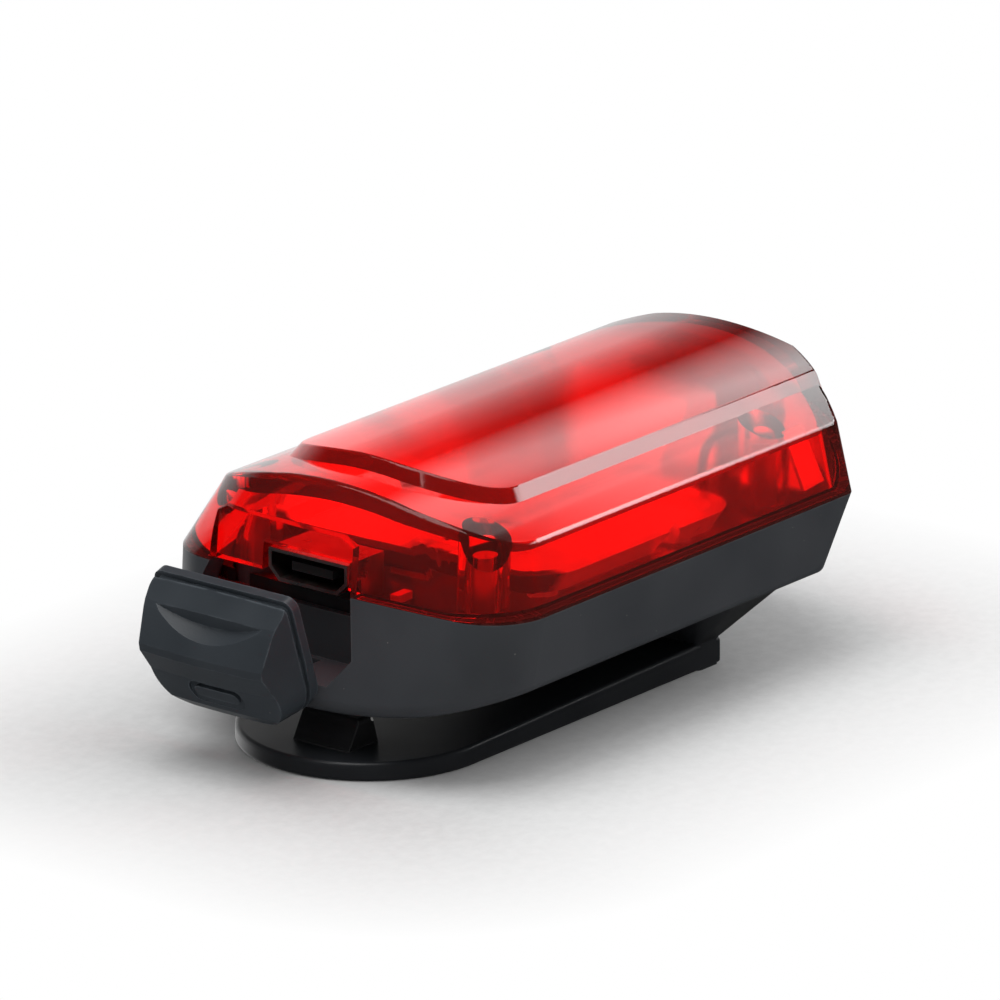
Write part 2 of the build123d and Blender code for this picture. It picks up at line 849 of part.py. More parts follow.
def make_contacts():
    """Gold contacts on the tongue."""
    low, high = tongue_box()
    strips = []
    for index in range(contact_count):
        y = socket_offset + (index - (contact_count - 1) / 2) * contact_pitch
        strips.append(box_between(
            (high[0] - contact_length, y - contact_width / 2, low[2] - contact_thickness),
            (high[0], y + contact_width / 2, low[2]),
        ))
    return Compound(strips)


def lamp_places():
    """Middles of the lamps along the board."""
    return [(lamp_row_front + index * lamp_pitch, 0) for index in range(lamp_count)]


def make_lamps():
    """Flat surface lamps in one row."""
    lamps = []
    for x, y in lamp_places():
        lamp = box_between(
            (x - lamp_length / 2, y - lamp_width / 2, board_top),
            (x + lamp_length / 2, y + lamp_width / 2, board_top + lamp_height),
        )
        dish = Pos(x, y, board_top + lamp_height) * Cylinder(
            lamp_length / 2 - lamp_frame, 2 * lamp_dish_depth)
        lamps.append(lamp - dish)
    return Compound(lamps)


def make_tray():
    """Bright tray round the lamps that throws their light up."""
    length = tray_front_reach + tray_rear_reach
    middle = (tray_rear_reach - tray_front_reach) / 2
    low = tray_floor_height
    high = low + tray_rim_height

    def level(spread, height, corner):
        face = RectangleRounded(length + 2 * spread, 2 * (tray_half_width + spread), corner)
        return Pos(middle, 0, height) * face

    flare = tray_flare
    outer = loft([
        level(-flare, low, tray_corner_radius),
        level(0, high, tray_corner_radius + flare),
    ], ruled=True)
    skin = tray_floor_thickness
    inner = loft([
        level(-flare - skin, low + skin, tray_corner_radius - skin),
        level(-skin, high + skin, tray_corner_radius + flare - skin),
    ], ruled=True)
    tray = outer - inner
    for x, y in lamp_places():
        tray -= box_between(
            (x - lamp_length / 2 - loose_gap, y - lamp_width / 2 - loose_gap, board_top),
            (x + lamp_length / 2 + loose_gap, y + lamp_width / 2 + loose_gap, low + 2 * skin),
        )
    for side in (-1, 1):
        for x in (middle - length / 2 + 2 * tray_foot_inset, middle + length / 2 - 2 * tray_foot_inset):
            y = side * (tray_half_width - tray_foot_inset - flare)
            tray += rod_z(x, y, board_top, low + skin, tray_foot_radius)
    for x, y in board_screw_places:
        tray -= rod_z(x, y, 0, high + cut_overrun, board_screw_head_radius + loose_gap)
    return tray


def make_status_lamp():
    """Small charge lamp beside the socket."""
    return box_between(
        (-status_lamp_reach, -status_lamp_side, board_top),
        (-status_lamp_reach + status_lamp_length, -status_lamp_side + status_lamp_width,
         board_top + status_lamp_height),
    )


def make_chip():
    """Charge controller with its six legs."""
    x, y = chip_reach, -chip_side
    parts = box_between(
        (x - chip_width / 2, y - chip_length / 2, board_top + chip_leg_thickness),
        (x + chip_width / 2, y + chip_length / 2, board_top + chip_height),
    )
    for side in (-1, 1):
        for index in range(chip_leg_count):
            leg_y = y + (index - 1) * chip_leg_pitch
            edge = x + side * (chip_width / 2 + chip_leg_reach / 2)
            parts += Pos(edge, leg_y, board_top + chip_leg_thickness) * Box(
                chip_leg_reach + slip_gap, chip_leg_width, 2 * chip_leg_thickness)
    return parts


def make_beads():
    """Row of small capacitors and resistors."""
    beads = []
    for index in range(bead_count):
        y = chip_side + (index - (bead_count - 1) / 2) * bead_pitch
        beads.append(box_between(
            (chip_reach - bead_length / 2, y - bead_width / 2, board_top),
            (chip_reach + bead_length / 2, y + bead_width / 2, board_top + bead_height),
        ))
    return Compound(beads)


def cell_top():
    """Top of the cell, just under its tape."""
    return board_bottom - tape_thickness


def make_cell():
    """Flat pouch cell with its folded end."""
    top = cell_top()
    rear = cell_rear_reach
    cell = box_between(
        (-cell_front_reach, -cell_half_width, top - cell_thickness),
        (rear, cell_half_width, top),
    )
    cell = fillet(cell.edges().filter_by(Axis.X), cell_edge_round)
    middle = top - cell_thickness / 2
    fold = box_between(
        (rear, cell_edge_round - cell_half_width, middle - fold_height / 2),
        (rear + fold_length, cell_half_width - cell_edge_round, middle + fold_height / 2),
    )
    return cell + fold


def make_tape():
    """Foam tape between the cell and the board."""
    top = cell_top()
    return box_between(
        (tape_inset - cell_front_reach, tape_inset - cell_half_width, top),
        (cell_rear_reach - tape_inset, cell_half_width - tape_inset, board_bottom),
    )


def make_lead(side):
    """One lead from the cell's folded end up to its pad under the board."""
    start_x = cell_rear_reach + fold_length
    low = cell_top() - cell_thickness / 2
    near, far = side * lead_spread, side * (lead_spread + 2 * lead_radius)
    points = [
        (start_x, near, low),
        (start_x + (lead_pad_reach - start_x) * lead_first_share, near, low),
        (lead_pad_reach, far, low - lead_radius / 2),
        (lead_pad_reach, far, board_bottom - pad_thickness),
    ]
    path = FilletPolyline(*points, radius=lead_bend_radius)
    section = Plane(origin=points[0], z_dir=path % 0) * Circle(lead_radius)
    lead = sweep(section, path=path)
    area = pi * lead_radius ** 2
    print("lead", side, "bend", lead_bend_radius, "volume", lead.volume, "expected", area * path.length)
    return lead


def make_pads():
    """Solder pads of the two leads under the board."""
    pads = []
    for side in (-1, 1):
        y = side * (lead_spread + 2 * lead_radius)
        pads.append(box_between(
            (lead_pad_reach - pad_length / 2, y - pad_width / 2, board_bottom - pad_thickness),
            (lead_pad_reach + pad_length / 2, y + pad_width / 2, board_bottom),
        ))
    return Compound(pads)


def make_clip():
    """Springy clip: round-ended plate, neck and the broad root under the housing."""
    plate_plan = make_face([
        Line((-clip_front_reach + clip_half_width, clip_half_width), (clip_plate_rear, clip_half_width)),
        Line((clip_plate_rear, clip_half_width), (clip_plate_rear, -clip_half_width)),
        Line((clip_plate_rear, -clip_half_width), (-clip_front_reach + clip_half_width, -clip_half_width)),
        ThreePointArc(
            (-clip_front_reach + clip_half_width, -clip_half_width),
            (-clip_front_reach, 0),
            (-clip_front_reach + clip_half_width, clip_half_width),
        ),
    ])
    side = make_face(Polyline(
        (-clip_front_reach, 0),
        (clip_plate_rear, 0),
        (clip_plate_rear, clip_root_thickness),
        (clip_neck_front, clip_root_thickness),
        (-clip_front_reach, clip_tip_thickness),
        close=True,
    ))
    across = Plane(origin=(0, body_width / 2, 0), x_dir=(1, 0, 0), z_dir=(0, -1, 0))
    plate = extrude(plate_plan, amount=clip_neck_height) & extrude(across * side, amount=body_width)
    rims = [edge for edge in plate.edges() if edge.bounding_box().size.Z < clip_tip_thickness / 2]
    rims = [edge for edge in rims if edge.center().X < clip_plate_rear - slip_gap]
    plate = fillet([edge for edge in rims if abs(edge.center().X - clip_neck_front) > wall], clip_rim_round)
    root_top = clip_pivot_height
    root_length = clip_root_rear - clip_root_front
    neck_length = clip_plate_rear - clip_neck_front
    levels = [
        Pos((clip_neck_front + clip_plate_rear) / 2, 0, 0) * RectangleRounded(
            neck_length, 2 * clip_half_width, clip_edge_round),
        Pos((clip_neck_front + clip_plate_rear) / 2, 0, clip_root_thickness) * RectangleRounded(
            neck_length, 2 * clip_half_width, clip_edge_round),
        Pos((clip_root_front + clip_root_rear) / 2, 0, root_top) * RectangleRounded(
            root_length, 2 * clip_root_half_width, clip_root_corner),
    ]
    neck = loft(levels[1:], ruled=True) + loft(levels[:2], ruled=True)
    clip = plate + neck
    clip -= Pos(0, 0, -seat_gap) * housing_block()
    return clip


def clip_surface(x):
    """Height of the clip plate's inner face, which thickens towards the root."""
    share = (x + clip_front_reach) / (clip_neck_front + clip_front_reach)
    return clip_tip_thickness + (clip_root_thickness - clip_tip_thickness) * share


def make_grip_pad():
    """Soft pad on the clip that closes the mouth against the housing."""
    top = clip_tip_thickness + pad_height
    face = make_face(Polyline(
        (-pad_front_reach, clip_surface(-pad_front_reach)),
        (-pad_rear_reach, clip_surface(-pad_rear_reach)),
        (-pad_rear_reach - pad_slope / 2, top),
        (-pad_front_reach + pad_slope, top),
        close=True,
    ))
    side = Plane(origin=(0, pad_far_side, 0), x_dir=(1, 0, 0), z_dir=(0, -1, 0))
    pad = extrude(side * face, amount=pad_far_side + pad_near_side)
    return fillet(pad.edges().group_by(Axis.Z)[-1], pad_round)


def main():
    os.makedirs("parts", exist_ok=True)
    nodes = {
        "base_housing": make_housing(),
        "lens": make_lens(),
        "lens_seal": make_lens_seal(),
        "lens_screws": make_lens_screws(),
        "usb_cover": make_cover(),
        "power_button": make_button(),
        "switch_plunger": make_plunger(),
        "switch_body": make_switch_body(),
        "switch_carrier": make_switch_carrier(),
        "circuit_board": make_board(),
        "board_screws": make_board_screws(),
        "usb_socket_shell": make_socket_shell(),
        "usb_socket_tongue": make_tongue(),
        "usb_contacts": make_contacts(),
        "leds": make_lamps(),
        "status_led": make_status_lamp(),
        "reflector_tray": make_tray(),
        "charge_chip": make_chip(),
        "board_components": make_beads(),
        "battery_cell": make_cell(),
        "battery_tape": make_tape(),
        "battery_lead_red": make_lead(-1),
        "battery_lead_black": make_lead(1),
        "lead_pads": make_pads(),
        "clip": make_clip(),
        "clip_grip_pad": make_grip_pad(),
    }
    for name, solid in nodes.items():
        export_step(solid, "parts/" + name + ".step")


if __name__ == "__main__":
    main()
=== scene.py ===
import bpy
import bmesh
from math import cos, radians, sin
from mathutils import Matrix, Vector


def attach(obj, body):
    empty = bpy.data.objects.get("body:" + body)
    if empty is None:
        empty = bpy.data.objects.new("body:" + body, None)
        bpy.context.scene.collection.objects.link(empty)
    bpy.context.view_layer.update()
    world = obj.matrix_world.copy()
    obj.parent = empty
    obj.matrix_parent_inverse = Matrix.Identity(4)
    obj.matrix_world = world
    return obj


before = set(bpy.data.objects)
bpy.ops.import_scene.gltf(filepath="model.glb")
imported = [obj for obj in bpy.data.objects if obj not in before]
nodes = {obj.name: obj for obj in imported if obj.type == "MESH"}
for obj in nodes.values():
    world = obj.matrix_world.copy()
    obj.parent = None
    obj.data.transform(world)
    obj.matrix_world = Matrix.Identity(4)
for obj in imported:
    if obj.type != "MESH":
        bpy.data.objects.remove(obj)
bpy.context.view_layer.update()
scene = bpy.context.scene

# the scene is in metres; lengths of the light's own pieces are written in millimetres
MM = 0.001
WHITE = (1.0, 1.0, 1.0)


# shader helpers

def blank_tree(owner):
    """Empty node tree of a material or a world."""
    owner.use_nodes = True
    owner.node_tree.nodes.clear()
    return owner.node_tree


def feed(tree, socket, value):
    """Wires another node's output into a socket, or sets the socket to a plain value."""
    if isinstance(value, bpy.types.NodeSocket):
        tree.links.new(value, socket)
    elif socket.type == "RGBA":
        socket.default_value = (*value, 1.0)
    else:
        socket.default_value = value


def put(tree, kind, feeds=None, **settings):
    """Adds a node: settings are its attributes, feeds its inputs by socket name or number."""
    node = tree.nodes.new(kind)
    for name, value in settings.items():
        setattr(node, name, value)
    for name, value in (feeds or {}).items():
        feed(tree, node.inputs[name], value)
    return node


def own_place(tree):
    """Place on the piece in its own coordinates."""
    return put(tree, "ShaderNodeTexCoord").outputs["Object"]


def axes(tree, place):
    return put(tree, "ShaderNodeSeparateXYZ", {0: place}).outputs


def noise(tree, place, scale, detail=2.0, rough=0.5):
    feeds = {"Vector": place, "Scale": scale, "Detail": detail, "Roughness": rough}
    return put(tree, "ShaderNodeTexNoise", feeds).outputs["Fac"]


def ramp(tree, value, low, high, start=0.0, end=1.0):
    """Maps a value from low..high to start..end, clamped."""
    feeds = {"Value": value, "From Min": low, "From Max": high, "To Min": start, "To Max": end}
    return put(tree, "ShaderNodeMapRange", feeds).outputs["Result"]


def calc(tree, operation, first, second=0.0):
    return put(tree, "ShaderNodeMath", {0: first, 1: second}, operation=operation).outputs[0]


def vector_calc(tree, operation, first, second=(0.0, 0.0, 0.0)):
    return put(tree, "ShaderNodeVectorMath", {0: first, 1: second}, operation=operation).outputs


def blend_colour(tree, share, first, second):
    return put(tree, "ShaderNodeMix", {0: share, 6: first, 7: second}, data_type="RGBA").outputs[2]


def effect_group(name, inputs, outputs):
    """Shader node group with number sockets; returns its tree, entry outputs and exit inputs."""
    tree = bpy.data.node_groups.new(name, "ShaderNodeTree")
    for label, value in inputs.items():
        socket = tree.interface.new_socket(label, in_out="INPUT", socket_type="NodeSocketFloat")
        socket.default_value = value
    for label in outputs:
        tree.interface.new_socket(label, in_out="OUTPUT", socket_type="NodeSocketFloat")
    entry = tree.nodes.new("NodeGroupInput")
    return tree, entry.outputs, tree.nodes.new("NodeGroupOutput").inputs


def place_group(tree, group, **values):
    feeds = {name.replace("_", " "): value for name, value in values.items()}
    return put(tree, "ShaderNodeGroup", feeds, node_tree=group).outputs


def surface(name, roughness, **values):
    """Material with one Principled shader; values are its plain sockets by name."""
    material = bpy.data.materials.new(name)
    tree = blank_tree(material)
    feeds = {key.replace("_", " "): value for key, value in values.items()}
    shader = put(tree, "ShaderNodeBsdfPrincipled", {"Roughness": roughness, **feeds})
    put(tree, "ShaderNodeOutputMaterial", {"Surface": shader.outputs[0]})
    return material, tree, shader


def output_of(tree):
    return next(node for node in tree.nodes if node.type == "OUTPUT_MATERIAL")


def bump(tree, shader, height, distance, strength):
    feeds = {"Strength": strength, "Distance": distance, "Height": height}
    feed(tree, shader.inputs["Normal"], put(tree, "ShaderNodeBump", feeds).outputs["Normal"])


# effects that several materials share

def moulded_grain_group():
    """Fine spark-eroded grain of a moulding: a height and a slow drift of tone."""
    tree, entry, out = effect_group(
        "moulded_grain", {"Grain Scale": 9000.0, "Drift Scale": 90.0}, ("Height", "Drift"))
    place = own_place(tree)
    feed(tree, out["Height"], noise(tree, place, entry["Grain Scale"]))
    feed(tree, out["Drift"], noise(tree, place, entry["Drift Scale"]))
    return tree


def dust_and_glint_specks_group():
    """Sparse pale specks: dust settled on the surface, and where set dense and bright also painted glints.
    """
    tree, entry, out = effect_group("dust_and_glint_specks", {"Speck Scale": 900.0, "Amount": 0.04}, ("Mask",))
    cells = put(tree, "ShaderNodeTexVoronoi", {"Vector": own_place(tree), "Scale": entry["Speck Scale"]})
    feed(tree, out["Mask"], calc(tree, "LESS_THAN", cells.outputs["Distance"], entry["Amount"]))
    return tree


def edge_rub_group():
    """Rubbed edges: where a slightly rounded normal leaves the true one, in patches."""
    patch_scale, patch_detail = 700.0, 5.0
    bare, worn = 0.35, 0.6
    tree, entry, out = effect_group("edge_rub", {"Width": 0.3 * MM, "Strength": 6.0}, ("Mask",))
    rounded = put(tree, "ShaderNodeBevel", {"Radius": entry["Width"]}, samples=4)
    true_normal = put(tree, "ShaderNodeNewGeometry").outputs["Normal"]
    alike = vector_calc(tree, "DOT_PRODUCT", rounded.outputs["Normal"], true_normal)["Value"]
    raised = calc(tree, "MULTIPLY", calc(tree, "SUBTRACT", 1.0, alike), entry["Strength"])
    patchy = ramp(tree, noise(tree, own_place(tree), patch_scale, patch_detail), bare, worn)
    rubbed = put(tree, "ShaderNodeClamp", {"Value": calc(tree, "MULTIPLY", raised, patchy)})
    feed(tree, out["Mask"], rubbed.outputs["Result"])
    return tree


def hairlines_group():
    """Hairline handling scratches in two directions."""
    tree, entry, out = effect_group("hairlines", {"Amount": 0.5}, ("Height",))
    place = own_place(tree)
    line_scale = 60.0
    tilt_x, tilt_y = 0.3, 0.2
    faint, clear = 0.68, 0.74
    heights = []
    for turn, stretch in ((0.4, 40.0), (2.0, 55.0)):
        across = line_scale * stretch
        turned = put(tree, "ShaderNodeMapping", {
            "Vector": place, "Rotation": (tilt_x, tilt_y, turn), "Scale": (line_scale, across, across)})
        heights.append(ramp(tree, noise(tree, turned.outputs["Vector"], 1.0), faint, clear))
    both = calc(tree, "MAXIMUM", *heights)
    feed(tree, out["Height"], calc(tree, "MULTIPLY", both, entry["Amount"]))
    return tree


GRAIN = moulded_grain_group()
DUST_AND_GLINTS = dust_and_glint_specks_group()
RUB = edge_rub_group()
HAIRLINES = hairlines_group()


# finishes

# noise values between which a slow drift of tone and a finer cloud change over
DRIFT_SPAN = (0.35, 0.65)
CLOUD_SPAN = (0.3, 0.7)
CLOUD_DETAIL = 4.0


def moulded_black(name, dark, light, rough, grain_scale, grain_depth,
                  rub=(0.10, 0.10, 0.105), dust_and_glints=0.03, speck=(0.24, 0.24, 0.23)):
    """Black moulded plastic or rubber: grain, slow tone drift, rubbed edges, and dust specks that on the
    glossy pad are also painted glints.
    """
    glossier, duller = 0.06, 0.08
    grain_strength = 0.6

    material, tree, shader = surface(name, rough)
    grain = place_group(tree, GRAIN, Grain_Scale=grain_scale, Drift_Scale=110.0)
    base = blend_colour(tree, ramp(tree, grain["Drift"], *DRIFT_SPAN), dark, light)
    rubbed = place_group(tree, RUB, Width=0.25 * MM, Strength=3.0)
    worn = blend_colour(tree, rubbed["Mask"], base, rub)
    # pale specks: dust, and where dense and bright also painted glints
    specks = place_group(tree, DUST_AND_GLINTS, Speck_Scale=620.0, Amount=dust_and_glints)
    feed(tree, shader.inputs["Base Color"], blend_colour(tree, specks["Mask"], worn, speck))
    gloss_drift = ramp(tree, grain["Drift"], *CLOUD_SPAN, rough - glossier, rough + duller)
    feed(tree, shader.inputs["Roughness"], gloss_drift)
    bump(tree, shader, grain["Height"], grain_depth, grain_strength)
    return material


def red_lens_finish():
    """Clear red moulded lens: polished outside, a little frosted inside, denser where it is thick, with
    painted shade darkening its tint over the top of the round end.
    """
    deep_tint, pale_tint, painted_shade_tint = (1.0, 0.20, 0.17), (1.0, 0.26, 0.22), (0.52, 0.13, 0.11)
    tint_scale, haze_scale = 60.0, 300.0
    haze_span, least_haze, most_haze = (0.45, 0.8), 0.015, 0.06
    shade_from_x, shade_full_x = 21.5 * MM, 26.5 * MM
    shade_from_z, shade_full_z = 16.5 * MM, 18.5 * MM
    frost_from_x, frost_full_x = -13.0 * MM, -8.0 * MM
    clear_inside, frosted_inside = 0.03, 0.17
    shadow_share = 0.05
    dye_colour, dye_density = (0.985, 0.03, 0.02), 1500.0

    material, tree, shader = surface("clear_red_lens", 0.03, Transmission_Weight=0.97, IOR=1.49)
    place = own_place(tree)
    along = axes(tree, place)
    drift = noise(tree, place, tint_scale)
    tint = blend_colour(tree, ramp(tree, drift, *CLOUD_SPAN), deep_tint, pale_tint)
    # painted shade: the tint turns dark towards the top of the round end
    painted_shade = calc(tree, "MULTIPLY", ramp(tree, along["X"], shade_from_x, shade_full_x),
                 ramp(tree, along["Z"], shade_from_z, shade_full_z))
    feed(tree, shader.inputs["Base Color"], blend_colour(tree, painted_shade, tint, painted_shade_tint))
    haze_cloud = noise(tree, place, haze_scale, CLOUD_DETAIL)
    haze = ramp(tree, haze_cloud, *haze_span, least_haze, most_haze)
    frost = ramp(tree, along["X"], frost_from_x, frost_full_x, clear_inside, frosted_inside)
    inside = put(tree, "ShaderNodeNewGeometry").outputs["Backfacing"]
    feed(tree, shader.inputs["Roughness"], calc(tree, "ADD", calc(tree, "MULTIPLY", frost, inside), haze))
    bump(tree, shader, place_group(tree, HAIRLINES, Amount=0.5)["Height"], 0.004 * MM, 0.25)
    # light reaches the inside through the lens
    shadow_ray = put(tree, "ShaderNodeLightPath").outputs["Is Shadow Ray"]
    feed(tree, shader.inputs["Alpha"], ramp(tree, shadow_ray, 0.0, 1.0, 1.0, shadow_share))
    dye = put(tree, "ShaderNodeVolumeAbsorption", {"Color": dye_colour, "Density": dye_density})
    feed(tree, output_of(tree).inputs["Volume"], dye.outputs[0])
    return material


def fine_lines(tree, shader):
    bump(tree, shader, place_group(tree, HAIRLINES, Amount=0.7)["Height"], 0.01 * MM, 0.4)


def metal_finish(name, colour, rough, cloud_scale=500.0):
    """Bare or plated metal with a cloudy tone and gloss and fine lines."""
    shade, glossier, duller = 0.7, 0.05, 0.12

    material, tree, shader = surface(name, rough, Metallic=1.0)
    cloud = noise(tree, own_place(tree), cloud_scale, CLOUD_DETAIL)
    darker = tuple(shade * part for part in colour)
    tone = blend_colour(tree, ramp(tree, cloud, *CLOUD_SPAN), darker, colour)
    feed(tree, shader.inputs["Base Color"], tone)
    gloss = ramp(tree, cloud, *CLOUD_SPAN, rough - glossier, rough + duller)
    feed(tree, shader.inputs["Roughness"], gloss)
    fine_lines(tree, shader)
    return material


def glowing_tray_finish():
    """Metallised plastic with a faint painted glow, left black and without glow at the charging end."""
    black_to_x, bright_from_x = -9.4 * MM, -8.6 * MM
    black, dull_silver, silver = (0.01, 0.01, 0.01), (0.90, 0.90, 0.90), (0.97, 0.97, 0.97)
    no_glow = (0.0, 0.0, 0.0)
    glossiest, dullest = 0.27, 0.42

    # painted glow: the silver part gives off a faint white light of its own, standing in for light inside
    # the lens
    material, tree, shader = surface("metallised_tray_painted_glow", 0.32, Metallic=1.0, Emission_Strength=0.16)
    place = own_place(tree)
    cloud = noise(tree, place, 500.0, CLOUD_DETAIL)
    bright = ramp(tree, axes(tree, place)["X"], black_to_x, bright_from_x)
    plating = blend_colour(tree, ramp(tree, cloud, *CLOUD_SPAN), dull_silver, silver)
    feed(tree, shader.inputs["Base Color"], blend_colour(tree, bright, black, plating))
    # the painted glow is shown only where the tray is silver
    feed(tree, shader.inputs["Emission Color"], blend_colour(tree, bright, no_glow, WHITE))
    feed(tree, shader.inputs["Roughness"], ramp(tree, cloud, *CLOUD_SPAN, glossiest, dullest))
    fine_lines(tree, shader)
    return material


def plain_moulding(name, colour, rough, shade=0.75):
    """Plain grained moulding; shade is how much darker its tone drifts."""
    material, tree, shader = surface(name, rough)
    grain = place_group(tree, GRAIN, Grain_Scale=6000.0, Drift_Scale=400.0)
    darker = tuple(shade * part for part in colour)
    tone = blend_colour(tree, ramp(tree, grain["Drift"], *DRIFT_SPAN), darker, colour)
    feed(tree, shader.inputs["Base Color"], tone)
    bump(tree, shader, grain["Height"], 0.008 * MM, 0.5)
    return material


shell_black = moulded_black(
    "satin_black_shell", dark=(0.044, 0.048, 0.055), light=(0.056, 0.060, 0.068),
    rough=0.42, grain_scale=9000.0, grain_depth=0.012 * MM)
clip_black = moulded_black(
    "satin_black_clip", dark=(0.014, 0.016, 0.019), light=(0.021, 0.023, 0.027),
    rough=0.34, grain_scale=9000.0, grain_depth=0.010 * MM)
cover_rubber = moulded_black(
    "soft_cover_rubber", dark=(0.036, 0.044, 0.053), light=(0.048, 0.058, 0.069),
    rough=0.38, grain_scale=7000.0, grain_depth=0.010 * MM, rub=(0.12, 0.14, 0.16))
# the pad's many bright specks are partly dust and partly painted glints of its glossy rubber
pad_rubber = moulded_black(
    "glossy_pad_rubber", dark=(0.008, 0.008, 0.009), light=(0.014, 0.014, 0.015),
    rough=0.15, grain_scale=5000.0, grain_depth=0.020 * MM, rub=(0.05, 0.05, 0.05),
    dust_and_glints=0.17, speck=(0.75, 0.74, 0.72))
button_rubber = moulded_black(
    "button_rubber", dark=(0.020, 0.021, 0.024), light=(0.030, 0.031, 0.034),
    rough=0.45, grain_scale=8000.0, grain_depth=0.012 * MM)
lens_red = red_lens_finish()
steel = metal_finish("plated_socket_steel", (0.62, 0.62, 0.60), 0.28)
screw_steel = metal_finish("screw_steel", (0.55, 0.55, 0.56), 0.32)
gold = metal_finish("contact_gold", (0.85, 0.62, 0.22), 0.25)
glowing_silver_tray = glowing_tray_finish()
foil = metal_finish("cell_foil", (0.72, 0.72, 0.74), 0.35, cloud_scale=250.0)
solder = metal_finish("solder", (0.66, 0.66, 0.64), 0.3)
black_nylon = plain_moulding("black_nylon", (0.020, 0.020, 0.021), 0.35)
board_mask = plain_moulding("board_coating", (0.016, 0.018, 0.020), 0.3, shade=0.6)
lamp_body = plain_moulding("lamp_package", (0.82, 0.80, 0.72), 0.35, shade=0.9)
silicone = plain_moulding("seal_silicone", (0.30, 0.29, 0.29), 0.5)
foam = plain_moulding("foam_tape", (0.72, 0.70, 0.66), 0.8)
red_wire = plain_moulding("red_wire", (0.55, 0.02, 0.02), 0.4)
black_wire = plain_moulding("black_wire", (0.02, 0.02, 0.02), 0.4)

finishes = {
    "base_housing": shell_black, "lens": lens_red, "lens_seal": silicone, "lens_screws": screw_steel,
    "usb_cover": cover_rubber, "power_button": button_rubber, "switch_plunger": black_nylon,
    "switch_body": black_nylon, "switch_carrier": glowing_silver_tray, "circuit_board": board_mask,
    "board_screws": screw_steel, "usb_socket_shell": steel, "usb_socket_tongue": black_nylon,
    "usb_contacts": gold, "leds": lamp_body, "status_led": lamp_body, "reflector_tray": glowing_silver_tray,
    "charge_chip": black_nylon, "board_components": solder, "battery_cell": foil, "battery_tape": foam,
    "battery_lead_red": red_wire, "battery_lead_black": black_wire, "lead_pads": solder,
    "clip": clip_black, "clip_grip_pad": pad_rubber,
}


def dress_nodes():
    """Gives each solid its finish."""
    for name, material in finishes.items():
        slots = nodes[name].material_slots
        if not slots:
            nodes[name].data.materials.append(material)
        for slot in slots:
            slot.material = material


# pieces inside the lens, with sizes in millimetres

def add_object(name, data):
    piece = bpy.data.objects.new(name, data)
    scene.collection.objects.link(piece)
    return piece


def soften_edges(shape, sharp_angle, rim):
    """Rounds every edge that turns by more than the angle, in radians."""
    bmesh.ops.recalc_face_normals(shape, faces=shape.faces)
    sharp = [edge for edge in shape.edges if edge.calc_face_angle(0.0) > sharp_angle]
    bmesh.ops.bevel(shape, geom=sharp, offset=rim * MM, segments=2, profile=0.6, affect="EDGES")


def finish_reflector(name, shape):
    """Turns a finished shape into a piece that rides with the light, bright from the tray finish and its
    painted glow.
    """
    crease_angle = radians(32.0)
    mesh = bpy.data.meshes.new(name)
    shape.to_mesh(mesh)
    shape.free()
    mesh.materials.append(glowing_silver_tray)
    for face in mesh.polygons:
        face.use_smooth = True
    mesh.set_sharp_from_angle(angle=crease_angle)
    piece = add_object(name, mesh)
    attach(piece, "light_body")


def make_rear_reflector():
    """Bright floor inside the round end, open round the switch."""
    low, high, rim = 12.35, 12.6, 0.06
    start_x, notch_x, notch_y = 20.6, 23.8, 5.4
    tip = (27.4, 0.0)
    far = [(start_x, 12.5), (22.8, 12.2), (24.1, 11.0), (25.5, 9.0), (26.6, 6.5), (27.2, 3.5)]
    near = [(x, -y) for x, y in far]
    outline = [(notch_x, -notch_y), (start_x, -notch_y), *near, tip]
    outline += [*reversed(far), (start_x, notch_y), (notch_x, notch_y)]
    shape = bmesh.new()
    face = shape.faces.new([shape.verts.new((x * MM, y * MM, low * MM)) for x, y in outline])
    risen = bmesh.ops.extrude_face_region(shape, geom=[face])
    tops = [part for part in risen["geom"] if isinstance(part, bmesh.types.BMVert)]
    bmesh.ops.translate(shape, vec=(0.0, 0.0, (high - low) * MM), verts=tops)
    soften_edges(shape, sharp_angle=0.6, rim=rim)
    finish_reflector("rear_reflector", shape)


def make_dark_hook_tube():
    """Black tube that loops from the board past the switch and makes the dark hook seen through the lens.
    """
    thickness = 0.72
    route = [
        (12.9, -8.6, 12.3), (13.3, -8.9, 14.6), (14.2, -8.6, 16.3), (17.0, -7.9, 16.5), (21.0, -7.2, 16.5),
        (24.6, -6.2, 16.5), (25.3, -7.2, 16.4), (23.6, -8.6, 16.2), (22.2, -8.9, 14.6), (22.0, -8.6, 12.3),
    ]
    line = bpy.data.curves.new("dark_hook_tube", "CURVE")
    line.dimensions = "3D"
    line.bevel_depth = thickness / 2 * MM
    line.bevel_resolution = 4
    line.resolution_u = 8
    line.use_fill_caps = True
    spline = line.splines.new("NURBS")
    spline.points.add(len(route) - 1)
    for point, (x, y, z) in zip(spline.points, route):
        point.co = (x * MM, y * MM, z * MM, 1.0)
    spline.order_u = 3
    spline.use_endpoint_u = True
    line.materials.append(black_wire)
    hook_tube = add_object("dark_hook_tube", line)
    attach(hook_tube, "light_body")


